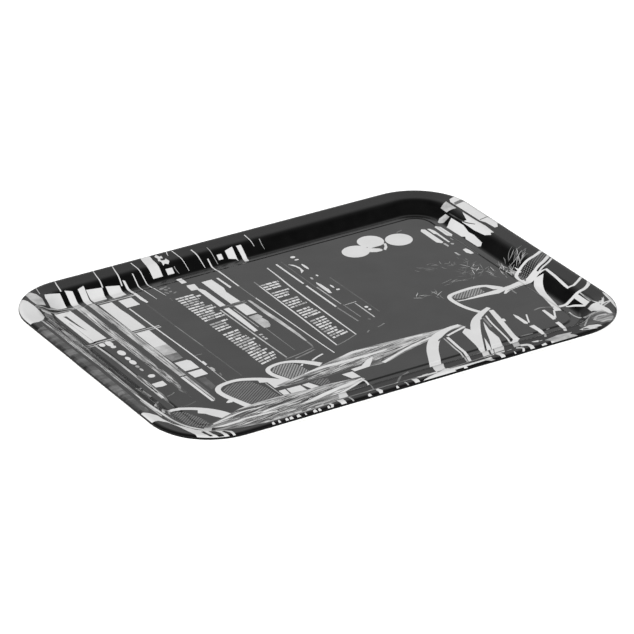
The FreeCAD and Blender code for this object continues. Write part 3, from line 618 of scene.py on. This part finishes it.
def draw_near_rim():
    # ground, feet and reflections along the near rim
    stroke(MID, [(-140, -155.4, 1.0), (-100, -157.0, 1.8), (-60, -157.6, 1.6), (-20, -157.6, 1.2), (24, -159.4, 1.8), (60, -157.4, 1.4), (92, -155.2, 2.0)], 2)
    for x, w in ((-150, 4.5), (-141, 6), (-128, 5), (-121, 7), (-109, 4), (-101, 8)):
        box(WHITE, x, -159.4, x + w, -158.0, 0.4)
    for x in (-146, -140, -133, -129, -122, -114, -106, -101, -92, -52, -24, 14, 44, 96, 134, 152):
        w = rng.uniform(1.0, 4.4)
        fill(WHITE, (x, -163.4), (x + w * 0.7, -162.6 + rng.random()), (x + w, -168), (x - 0.6, -168))
    for x in (-134, -118, -96, -48, -22, 6, 26, 92, 126):
        w = rng.uniform(2.0, 8.0)
        fill(PALE, (x, -156.6 - rng.random()), (x + w, -156.8), (x + w * 0.8, -158.0), (x + 0.4, -157.8))
    fill(WHITE, (-88.4, -159.6), (-86.6, -159.4), (-85.4, -163), (-88.6, -168), (-90.8, -168), (-88.0, -163))
    fill(WHITE, (-79.4, -158.0), (-73.6, -158.6), (-74.0, -168), (-78.8, -168))
    stroke(PALE, [(-67.6, -158.6), (-67.0, -168)], 1.4, False)
    fill(WHITE, (-41.4, -158.6), (-38.4, -158.0), (-37.0, -163), (-39.6, -168), (-41.2, -168))
    stroke(PALE, [(-13.2, -160), (-12.4, -168)], 1.4, False)
    fill(WHITE, (-6.0, -159.0), (-1.0, -160.0), (-1.0, -168), (-5.6, -168))
    fill(WHITE, (0, -157.6), (20, -158.2), (20, -160.8), (2, -160.0))
    fill(WHITE, (-1.6, -167), (4, -164.6), (12, -162.6), (19, -161.0), (27, -158.6), (31.5, -157.8), (34.4, -162), (36.5, -168), (-2, -168))
    fill(MID, (7.6, -161.8), (12.6, -160.6), (14.0, -162.4), (9.0, -163.2))
    fill(WHITE, (32.6, -160.0), (50, -161.0), (64, -161.2), (74, -160.4), (74, -163.2), (58, -163.4), (32.4, -164.0))
    stroke(PALE, [(66, -162.0), (74, -165.6), (78, -169)], 1.8)
    stroke(WHITE, [(82.6, -156.6), (84.0, -162), (83.6, -169)], 4.4)
    stroke(WHITE, [(102.0, -157.6), (106.6, -161.4), (102.6, -168)], 1.9)
    stroke(WHITE, [(108, -155.4), (114.4, -158.6), (113.4, -169)], 4.0)
    fill(WHITE, (120, -154.4), (127.0, -155.4), (124.6, -158.4), (121, -156.4))
    fill(PALE, (131, -158.6), (146, -156.0), (160, -158.0), (156, -161.0), (164, -168), (140, -168))
    fill(WHITE, (124, -164.0), (128.4, -163.0), (130, -168), (124, -168))
    fill(WHITE, (168, -157.6), (176, -157.0), (183.0, -153.6), (178.0, -159.4), (184, -163.4), (176, -162.6), (170, -160.4))
    fill(MOTTLE, (172.7, -150.2), (189.2, -138.7), (198.0, -134.5), (204.3, -137.3), (209.6, -144.1), (214, -150), (208, -158), (190, -164), (170.8, -160))
    fill(GRAIN, (191, -142), (198, -134.8), (204.3, -137.3), (209.6, -144.1), (208.4, -152), (202, -158.6), (194, -158), (190, -150))
    fill(BLACK, (178, -162), (188.4, -160.6), (189.6, -155.0), (182.4, -155.2))
    fill(WHITE, (170.1, -157.3), (179.6, -155.0), (186.9, -157.6), (189.3, -161.5), (177.0, -162.4), (175.3, -158.3))
    stroke(PALE, [(190, -149), (197, -143.6), (205, -146)], 2.2)
    fill(WHITE, (202.9, -121.8), (206.7, -120.2), (211.7, -121.5), (212.4, -128.4), (212.8, -138.8), (210.3, -147.8), (208.0, -145.0), (207.4, -135.9),
         (203.3, -134.1), (200.5, -129.8))
    stroke(WHITE, [(211, -129), (214.0, -127.0), (219.0, -126.0), (224.4, -127.2), (227, -130)], 1.5)
    fill(WHITE, (226.8, -108.6), (228.8, -112), (226.6, -123), (222.8, -134.8), (219.4, -141), (220.8, -133.0), (223.8, -121.6), (225.4, -113))
    fill(WHITE, (210.5, -115.1), (212.6, -120.7), (214.8, -124.4), (217.1, -121.2), (223.1, -116.4), (217.8, -122.6), (216.0, -128.0), (211.8, -124.6))
    stroke(PALE, [(176, -154), (184, -146), (190, -139), (199, -133.0)], 1.4)
    fill(PALE, (192, -133), (194.6, -125.6), (197.6, -133.4), (201.6, -134.6), (196.4, -137.4))
    # near left corner: skirting lines, and a pale strip with a dark rim shape
    stroke(WHITE, [(-216.4, -60, 0.8), (-215.6, -76.4, 1.6), (-214.9, -89.8, 2.4), (-213.6, -103.1, 2.6), (-212.0, -114.9, 2.2), (-208.6, -127.4, 2.6),
                   (-204.0, -136.4, 2.6), (-199.0, -142.4, 2.0)], 2.2)
    stroke(PALE, [(-218.0, -70, 0.8), (-217.4, -88, 1.6), (-216.6, -104, 1.4)], 1.4)
    for x, y, dx, dy in ((-213.2, -86.0, 5.4, 7.0), (-212.4, -97.0, 5.0, 7.0)):
        fill(WHITE, (x, y), (x + dx * 0.5 - 0.5, y + dy * 0.5 + 0.7), (x + dx, y + dy), (x + dx * 0.5 + 0.6, y + dy * 0.5 - 0.8))
    fill(WHITE, (-240, -92), (-227.7, -91.6), (-223.7, -94.7), (-219.4, -101.8), (-218.6, -110.0), (-215.6, -121.4), (-210.0, -130.2),
         (-204.9, -139.8), (-198.0, -145.8), (-191.0, -150.6), (-185.2, -153.4), (-181.0, -158.0), (-181.6, -170), (-205, -180), (-240, -170))
    fill(BLACK, (-240, -110), (-227.9, -110.2), (-223.6, -110.6), (-218.3, -116.5), (-214.5, -126.4), (-212.0, -138.6), (-209.9, -148.0),
         (-210.3, -152.5), (-222, -150), (-240, -130))
    fill(BLACK, (-203.4, -145.6), (-200.6, -145.4), (-200.0, -152), (-198.6, -157.6), (-201.2, -156.4), (-203.0, -150.4))
    fill(BLACK, (-197.4, -147.2), (-192.4, -150.4), (-190.6, -155.4), (-190.4, -162.0), (-195.0, -160.4), (-197.0, -154.0))
    fill(BLACK, (-188.2, -153.4), (-185.8, -153.8), (-183.6, -158.6), (-183.4, -165), (-186.6, -164), (-187.6, -158))


def draw_left_rim():
    # shop front seen edge on, running down the left wall
    fill(MOTTLE, (-240, 100.6), (-221.4, 100.6), (-219.6, 40), (-219.4, -40), (-221, -90), (-230, -93), (-240, -93))
    fill(BLACK, (-240, 100.4), (-221.6, 100.4), (-221.8, 92), (-229.0, 89), (-240, 88))
    fill(BLACK, (-221.6, 100), (-219.8, 100), (-218.8, 0), (-219.8, -84), (-221.4, -84), (-220.6, 0))
    fill(DIM, (-240, -68), (-222, -66), (-221.6, -92), (-227, -92.4), (-240, -98))
    fill(MID, (-228, -50), (-222.6, -49), (-222.8, -54), (-230, -55))
    stroke(PALE, [(-217.6, 104), (-216.6, 60), (-216.2, 10), (-215.8, -40), (-216.6, -94)], 1.7)
    stroke(MID, [(-214.6, 100), (-214.0, 40), (-213.8, -20), (-214.0, -60)], 1.2)
    fill(MID, (-212.6, 102), (-205, 108), (-202.6, 100), (-204, 92), (-212.0, 84))
    fill(PALE, (-211.6, 79), (-202.0, 78), (-200.6, 66), (-205.0, 54), (-213.0, 56))
    fill(MID, (-212.6, 56), (-206, 52), (-203.4, 44), (-208.6, 36), (-213.0, 44))
    fill(DIM, (-213.2, 30), (-206, 24), (-205.4, 6), (-212.8, -6))
    stroke(PALE, [(-203.0, 58), (-206.6, 50), (-210.6, 43)], 1.0)
    fill(PALE, (-197.8, -40), (-196.8, -52), (-203, -57), (-209.6, -51), (-206.0, -45))
    stroke(PALE, [(-197.0, -34.4), (-203, -41), (-210, -49)], 1.2)
    streaks([(-218.6, 96), (-212.0, 96), (-210.4, 20), (-211.4, -60), (-216.6, -84), (-218.4, -20)], 60, math.pi / 2, 12, 60, 1.1, (WHITE, PALE, MID, DIM, BLACK))
    streaks([(-212.0, 96), (-205.0, 92), (-205.4, 20), (-208.4, -40), (-211.4, -60), (-210.4, 20)], 34, math.pi / 2, 8, 34, 1.2, (PALE, MID, DIM, BLACK))
    stroke(PALE, [(-197.4, -63.6), (-205, -74), (-212, -87)], 1.3)
    stroke(MID, [(-200.0, -70.6), (-208, -82), (-213, -92)], 1.0)


draw_left_rim()
draw_far_rim()
draw_facade()
draw_boards()
draw_lamps()
draw_plants()
draw_left_chairs()
draw_tables()
draw_right_chairs()
draw_near_chairs()
draw_near_rim()

# ------------------------------------------------------------------ the printed face sheet
def signed_area(poly):
    return sum(a[0] * b[1] - b[0] * a[1] for a, b in zip(poly, poly[1:] + poly[:1])) / 2


def cut_plan(shapes):
    """Triangles of the plan, cut along the rings and along every shape's outline."""
    verts, edges, faces = [], [], []

    def loop(points):
        first = len(verts)
        verts.extend(Vector(p) for p in points)
        return list(range(first, first + len(points)))

    for k, s in enumerate(RINGS):
        ring = loop(ring_line(s))
        if k == 0:
            faces.append(ring)
        else:
            edges.extend((ring[i], ring[(i + 1) % len(ring)]) for i in range(len(ring)))
    for _, points in shapes:
        if signed_area(points) < 0:
            points = points[::-1]
        faces.append(loop(points))
    out = delaunay_2d_cdt(verts, edges, faces, 1, 1e-4, True)
    return out[0], out[2], out[5]


def build_face_sheet():
    co, tris, owners = cut_plan(PRINT)
    keep = [(t, max(o)) for t, o in zip(tris, owners) if 0 in o]
    used = sorted({i for t, _ in keep for i in t})
    index = {old: new for new, old in enumerate(used)}
    points, normals = [], []
    for i in used:
        x, y = co[i]
        s, _ = inset(x, y)
        z, n = surface(x, y)
        points.append((x, y, z))
        normals.append(n)
    top = [(tuple(index[i] for i in t), PRINT[o - 1][0] if o else BLACK) for t, o in keep]
    top = [
        (t if signed_area([points[i][:2] for i in t]) > 0 else t[::-1], tone)
        for t, tone in top
        if abs(signed_area([points[i][:2] for i in t])) > 1e-7
    ]
    # the sheet's edge, in order, from the top's open sides
    seen = {}
    for t, _ in top:
        for a, b in zip(t, t[1:] + t[:1]):
            seen[(a, b)] = seen.get((a, b), 0) + 1
    rim_next = {a: b for (a, b) in seen if (b, a) not in seen}
    start = next(iter(rim_next))
    rim = [start]
    while rim_next[rim[-1]] != start:
        rim.append(rim_next[rim[-1]])
    # underside: the same sheet one thickness lower, with rings only
    count = len(points)
    lower_rim = []
    for i in rim:
        x, y, z = points[i]
        lower_rim.append((x, y))
    verts, edges, faces = [Vector(p) for p in lower_rim], [], [list(range(len(lower_rim)))]
    for s in RINGS[1:]:
        first = len(verts)
        ring = ring_line(s, 24, 60.0)
        verts.extend(Vector(p) for p in ring)
        edges.extend((first + i, first + (i + 1) % len(ring)) for i in range(len(ring)))
    out = delaunay_2d_cdt(verts, edges, faces, 1, 1e-5, True)
    low_index = {}
    for new, old in enumerate(out[3]):
        for o in old:
            low_index[o] = new
    lows = []
    for x, y in out[0]:
        z, n = surface(x, y)
        # straight down by the sheet's thickness measured square to the surface
        lows.append(((x, y, z - SHEET_T / n.z), -n))
    points += [p for p, _ in lows]
    normals += [n for _, n in lows]
    under = []
    for t in out[2]:
        tri = tuple(count + i for i in t)
        if signed_area([points[i][:2] for i in tri]) > 0:
            tri = tri[::-1]
        under.append(tri)
    sides = []
    for k, i in enumerate(rim):
        j = rim[(k + 1) % len(rim)]
        a, b = count + low_index[k], count + low_index[(k + 1) % len(rim)]
        sides.append((i, a, b, j))
    mesh = bpy.data.meshes.new("decor_face_print")
    mesh.from_pydata([Vector(p) * MM for p in points], [], [t for t, _ in top] + under + sides)
    for poly, tone in zip(mesh.polygons, [t for _, t in top] + [10] * (len(under) + len(sides))):
        poly.material_index = tone
    mesh.update()
    smooth = [True] * (len(top) + len(under)) + [False] * len(sides)
    mesh.polygons.foreach_set("use_smooth", smooth)
    loops = []
    for poly in mesh.polygons:
        flat = not smooth[poly.index]
        for v in poly.vertices:
            loops.append(poly.normal.copy() if flat else normals[v])
    mesh.normals_split_custom_set(loops)
    return mesh


face_mesh = build_face_sheet()
face = bpy.data.objects.new("decor_face_print", face_mesh)
scene.collection.objects.link(face)
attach(face, "root")
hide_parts("decor_face_sheet")
print("face sheet polygons", len(face_mesh.polygons))


# ------------------------------------------------------------------ materials
def material(name):
    mat = bpy.data.materials.new(name)
    mat.use_nodes = True
    tree = mat.node_tree
    tree.nodes.clear()
    out = tree.nodes.new("ShaderNodeOutputMaterial")
    shader = tree.nodes.new("ShaderNodeBsdfPrincipled")
    tree.links.new(shader.outputs["BSDF"], out.inputs["Surface"])
    return mat, tree, shader


def add(tree, kind, **values):
    node = tree.nodes.new("ShaderNode" + kind)
    for key, value in values.items():
        if key in node.inputs:
            node.inputs[key].default_value = value
        else:
            setattr(node, key, value)
    return node


def link(tree, a, b):
    tree.links.new(a, b)


def place(tree, scale=(1, 1, 1), turn=0.0):
    coord = add(tree, "TexCoord")
    mapping = add(tree, "Mapping")
    mapping.inputs["Scale"].default_value = scale
    mapping.inputs["Rotation"].default_value = (0, 0, turn)
    link(tree, coord.outputs["Object"], mapping.inputs["Vector"])
    return mapping.outputs["Vector"]


def noise(tree, vector, scale, detail=3.0, rough=0.5):
    node = add(tree, "TexNoise")
    node.inputs["Scale"].default_value = scale
    node.inputs["Detail"].default_value = detail
    node.inputs["Roughness"].default_value = rough
    link(tree, vector, node.inputs["Vector"])
    return node.outputs["Fac"]


def ramp(tree, value, stops, mode="LINEAR"):
    node = add(tree, "ValToRGB")
    node.color_ramp.interpolation = mode
    while len(node.color_ramp.elements) < len(stops):
        node.color_ramp.elements.new(0.5)
    for element, (at, colour) in zip(node.color_ramp.elements, stops):
        element.position = at
        element.color = (colour[0], colour[1], colour[2], 1.0) if isinstance(colour, tuple) else (colour, colour, colour, 1.0)
    link(tree, value, node.inputs["Fac"])
    return node.outputs["Color"]


def math_node(tree, op, a, b=None):
    node = add(tree, "Math", operation=op)
    for slot, value in ((0, a), (1, b)):
        if value is None:
            continue
        if isinstance(value, (int, float)):
            node.inputs[slot].default_value = value
        else:
            link(tree, value, node.inputs[slot])
    return node.outputs[0]


def melamine(tree, shader, rough_low, rough_high, bump=0.02):
    """The pressed clear overlay: an even sheen, faint orange peel and fine wiping marks."""
    vector = place(tree)
    patches = noise(tree, vector, 26.0, 4.0, 0.55)
    fine = noise(tree, vector, 900.0, 2.0, 0.5)
    marks = noise(tree, place(tree, (22.0, 420.0, 22.0), 0.5), 3.0, 3.0, 0.6)
    both = math_node(tree, "ADD", math_node(tree, "MULTIPLY", patches, 0.75), math_node(tree, "MULTIPLY", marks, 0.25))
    rough = ramp(tree, both, [(0.3, rough_low), (0.7, rough_high)])
    link(tree, rough, shader.inputs["Roughness"])
    bumper = add(tree, "Bump")
    bumper.inputs["Strength"].default_value = bump
    bumper.inputs["Distance"].default_value = 0.0004
    link(tree, fine, bumper.inputs["Height"])
    link(tree, bumper.outputs["Normal"], shader.inputs["Normal"])
    shader.inputs["IOR"].default_value = 1.5
    return vector


def ink(name, dark, light, scale, rough=(0.12, 0.18)):
    mat, tree, shader = material(name)
    vector = melamine(tree, shader, *rough)
    value = noise(tree, vector, scale, 5.0, 0.6)
    link(tree, ramp(tree, value, [(0.32, dark), (0.68, light)]), shader.inputs["Base Color"])
    return mat


def cane_ink(name, dark, light, pitch, turn, gap):
    """Woven cane as the print shows it: rows of short slanting strands between darker gaps."""
    mat, tree, shader = material(name)
    melamine(tree, shader, 0.12, 0.18)
    waves = []
    for angle, size in ((turn, pitch), (turn + gap, pitch * 0.9)):
        node = add(tree, "TexWave", wave_type="BANDS", bands_direction="X", wave_profile="SIN")
        # a wave of scale 1 repeats every 0.314 m
        node.inputs["Scale"].default_value = 314.16 / size
        node.inputs["Distortion"].default_value = 0.5
        node.inputs["Detail"].default_value = 1.0
        node.inputs["Detail Scale"].default_value = 0.4
        link(tree, place(tree, (1, 1, 1), angle), node.inputs["Vector"])
        waves.append(node.outputs["Fac"])
    mixed = math_node(tree, "MULTIPLY", waves[0], waves[1])
    patch = noise(tree, place(tree), 30.0, 2.0, 0.5)
    mixed = math_node(tree, "MULTIPLY", mixed, math_node(tree, "ADD", patch, 0.5))
    link(tree, ramp(tree, mixed, [(0.12, dark), (0.42, light)]), shader.inputs["Base Color"])
    return mat


def grain_ink(name, stops, turn, stretch):
    """Weathered table boards as the print shows them: long uneven streaks."""
    mat, tree, shader = material(name)
    melamine(tree, shader, 0.12, 0.18)
    long = noise(tree, place(tree, (9.0, stretch, 9.0), turn), 1.0, 5.0, 0.62)
    short = noise(tree, place(tree, (40.0, stretch * 3.0, 40.0), turn), 1.0, 3.0, 0.6)
    both = math_node(tree, "ADD", math_node(tree, "MULTIPLY", long, 0.72), math_node(tree, "MULTIPLY", short, 0.28))
    link(tree, ramp(tree, both, stops), shader.inputs["Base Color"])
    return mat


INKS = [
    ink("ink_black", 0.0025, 0.0045, 60.0),
    ink("ink_white", 0.58, 0.63, 35.0),
    ink("ink_pale", 0.24, 0.52, 70.0),
    ink("ink_mid", 0.07, 0.20, 90.0),
    ink("ink_dim", 0.02, 0.07, 110.0),
    cane_ink("ink_cane", 0.004, 0.16, 2.3, 0.95, 1.25),
    cane_ink("ink_cane_light", 0.02, 0.36, 2.3, 0.75, 1.25),
    grain_ink("ink_grain", [(0.38, 0.015), (0.46, 0.10), (0.53, 0.30), (0.62, 0.55)], -0.20, 120.0),
    grain_ink("ink_grain_dark", [(0.40, 0.006), (0.50, 0.05), (0.58, 0.16), (0.70, 0.42)], -0.16, 130.0),
    grain_ink("ink_mottle", [(0.36, 0.008), (0.48, 0.05), (0.58, 0.13), (0.70, 0.32)], 1.45, 60.0),
]

# raw underside of the decor paper, seen only if the stack is taken apart
paper, tree, shader = material("decor_paper_back")
vector = place(tree)
link(tree, ramp(tree, noise(tree, vector, 220.0, 6.0, 0.7), [(0.3, (0.60, 0.55, 0.47)), (0.7, (0.72, 0.67, 0.58))]), shader.inputs["Base Color"])
shader.inputs["Roughness"].default_value = 0.75
for mat in INKS + [paper]:
    face_mesh.materials.append(mat)

# birch veneer, its grain turned a quarter from ply to ply
for number in range(1, 6):
    mat, tree, shader = material("birch_ply_%d" % number)
    turn = 0.0 if number % 2 else math.pi / 2
    rings = noise(tree, place(tree, (14.0, 190.0, 60.0), turn), 1.0, 6.0, 0.6)
    pores = noise(tree, place(tree, (120.0, 2200.0, 400.0), turn), 1.0, 2.0, 0.5)
    both = math_node(tree, "ADD", math_node(tree, "MULTIPLY", rings, 0.7), math_node(tree, "MULTIPLY", pores, 0.3))
    shade = 1.0 - 0.02 * number
    link(tree, ramp(tree, both, [(0.30, (0.42 * shade, 0.27 * shade, 0.14 * shade)), (0.50, (0.60 * shade, 0.43 * shade, 0.25 * shade)),
                                 (0.72, (0.70 * shade, 0.54 * shade, 0.35 * shade))]), shader.inputs["Base Color"])
    link(tree, ramp(tree, pores, [(0.3, 0.62), (0.7, 0.45)]), shader.inputs["Roughness"])
    bumper = add(tree, "Bump")
    bumper.inputs["Strength"].default_value = 0.15
    bumper.inputs["Distance"].default_value = 0.0003
    link(tree, both, bumper.inputs["Height"])
    link(tree, bumper.outputs["Normal"], shader.inputs["Normal"])
    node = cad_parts["core_ply_%d" % number]
    for slot in node.material_slots:
        slot.material = mat

# white melamine underneath, with the light scuffs of a tray that is stacked and slid
mat, tree, shader = material("backing_white")
vector = place(tree)
cloud = noise(tree, vector, 14.0, 4.0, 0.6)
fleck = noise(tree, vector, 700.0, 3.0, 0.6)
both = math_node(tree, "ADD", math_node(tree, "MULTIPLY", cloud, 0.6), math_node(tree, "MULTIPLY", fleck, 0.4))
link(tree, ramp(tree, both, [(0.30, (0.70, 0.70, 0.69)), (0.68, (0.80, 0.80, 0.79))]), shader.inputs["Base Color"])
scuff = noise(tree, place(tree, (160.0, 12.0, 12.0), 0.3), 1.0, 5.0, 0.65)
link(tree, ramp(tree, scuff, [(0.38, 0.30), (0.66, 0.48)]), shader.inputs["Roughness"])
bumper = add(tree, "Bump")
bumper.inputs["Strength"].default_value = 0.08
bumper.inputs["Distance"].default_value = 0.0003
link(tree, fleck, bumper.inputs["Height"])
link(tree, bumper.outputs["Normal"], shader.inputs["Normal"])
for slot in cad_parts["backing_sheet"].material_slots:
    slot.material = mat

# sealing bead: white, its upper part under the dark gloss that runs over from the face sheet
mat, tree, shader = material("edge_seal_white")
vector = place(tree)
along = noise(tree, vector, 240.0, 4.0, 0.6)
white = ramp(tree, along, [(0.30, (0.76, 0.76, 0.75)), (0.70, (0.86, 0.86, 0.85))])
bead_low, bead_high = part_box("edge_seal_bead")
split_z = tree.nodes.new("ShaderNodeSeparateXYZ")
link(tree, vector, split_z.inputs[0])
# 0 at the bead's bottom, 1 at its top, with a slightly uneven line between the two
height = math_node(tree, "DIVIDE", math_node(tree, "SUBTRACT", split_z.outputs["Z"], bead_low.z), bead_high.z - bead_low.z)
wander = math_node(tree, "MULTIPLY", math_node(tree, "SUBTRACT", noise(tree, vector, 40.0, 3.0, 0.5), 0.5), 0.16)
line = ramp(tree, math_node(tree, "ADD", height, wander), [(0.52, 0.0), (0.56, 1.0)])
blend = add(tree, "Mix", data_type="RGBA")
link(tree, line, blend.inputs["Factor"])
link(tree, white, blend.inputs[6])
link(tree, ramp(tree, along, [(0.3, 0.003), (0.7, 0.006)]), blend.inputs[7])
link(tree, blend.outputs[2], shader.inputs["Base Color"])
link(tree, ramp(tree, noise(tree, vector, 90.0, 3.0, 0.5), [(0.3, 0.22), (0.7, 0.36)]), shader.inputs["Roughness"])
shader.inputs["Specular IOR Level"].default_value = 0.12
bumper = add(tree, "Bump")
bumper.inputs["Strength"].default_value = 0.12
bumper.inputs["Distance"].default_value = 0.0003
link(tree, along, bumper.inputs["Height"])
link(tree, bumper.outputs["Normal"], shader.inputs["Normal"])
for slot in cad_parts["edge_seal_bead"].material_slots:
    slot.material = mat

# ------------------------------------------------------------------ floor and light
floor_mesh = bpy.data.meshes.new("studio_floor")
half = 6.0
floor_mesh.from_pydata([(-half, -half, 0), (half, -half, 0), (half, half, 0), (-half, half, 0)], [], [(0, 1, 2, 3)])
floor = bpy.data.objects.new("studio_floor", floor_mesh)
scene.collection.objects.link(floor)
floor.location.z = -0.0002
mat, tree, shader = material("studio_floor")
link(tree, ramp(tree, noise(tree, place(tree), 3.0, 2.0, 0.5), [(0.3, 0.92), (0.7, 0.94)]), shader.inputs["Base Color"])
shader.inputs["Roughness"].default_value = 0.9
shader.inputs["Emission Color"].default_value = (1.0, 1.0, 1.0, 1.0)
shader.inputs["Emission Strength"].default_value = 0.35
floor_mesh.materials.append(mat)

world = bpy.data.worlds.new("studio")
scene.world = world
world.use_nodes = True
tree = world.node_tree
tree.nodes.clear()
out = tree.nodes.new("ShaderNodeOutputWorld")
background = tree.nodes.new("ShaderNodeBackground")
tree.links.new(background.outputs[0], out.inputs[0])
coord = tree.nodes.new("ShaderNodeTexCoord")
split = tree.nodes.new("ShaderNodeSeparateXYZ")
tree.links.new(coord.outputs["Generated"], split.inputs[0])
# a bright backdrop behind the tray that ends overhead, and a dim front
# bright towards +Y up to a height, dark overhead and towards the front
height = ramp(tree, split.outputs["Z"], [(0.0, 0.20), (0.31, 0.27), (0.42, 0.88), (0.472, 0.90), (0.51, 0.48), (0.575, 0.43), (0.78, 0.72)])
turned = tree.nodes.new("ShaderNodeVectorMath")
turned.operation = "DOT_PRODUCT"
tree.links.new(coord.outputs["Generated"], turned.inputs[0])
turned.inputs[1].default_value = (0.6, 0.8, 0.0)
front = ramp(tree, math_node(tree, "ADD", math_node(tree, "MULTIPLY", turned.outputs["Value"], 0.5), 0.5),
             [(0.0, 0.03), (0.61, 0.03), (0.74, 0.14), (0.80, 0.34), (0.89, 1.0)])
shade = math_node(tree, "MULTIPLY", height, front)
tree.links.new(shade, background.inputs["Color"])
background.inputs["Strength"].default_value = 1.0


def lamp(name, towards, strength, spread):
    """A broad, even light from one direction."""
    data = bpy.data.lights.new(name, "SUN")
    data.energy = strength
    data.angle = math.radians(spread)
    ob = bpy.data.objects.new(name, data)
    scene.collection.objects.link(ob)
    ob.location = Vector(towards) * 4.0
    ob.rotation_euler = Vector(towards).to_track_quat("Z", "Y").to_euler()
    return ob


# two broad soft lights, left and front, kept out of the tray's own reflections
lamp("soft_left", (-0.70, -0.25, 0.669), 2.7, 24.0)
lamp("soft_front", (-0.15, -0.72, 0.68), 2.2, 24.0)

# ------------------------------------------------------------------ camera
AZ, EL = -0.55552, 0.46725
FOCAL_PX, TX, TY, DIST, UNIT = 4098.2, 0.002336, 0.001565, 15.5731, 0.230
right = Vector((math.cos(AZ), math.sin(AZ), 0.0))
back = Vector((math.sin(AZ) * math.cos(EL), -math.cos(AZ) * math.cos(EL), math.sin(EL)))
up = back.cross(right)
spin = Matrix((right, up, back)).transposed()
camera_data = bpy.data.cameras.new("camera")
camera_data.sensor_width = 36.0
camera_data.lens = FOCAL_PX / 634.0 * 36.0
camera_data.clip_start, camera_data.clip_end = 0.05, 60.0
camera = bpy.data.objects.new("camera", camera_data)
scene.collection.objects.link(camera)
floor_top = CROWN_Z + STEP_R
where = spin @ Vector((-TX, -TY, DIST)) * UNIT + Vector((0, 0, floor_top * MM))
camera.matrix_world = Matrix.Translation(where) @ spin.to_4x4()
scene.camera = camera
scene.view_settings.view_transform = "Standard"
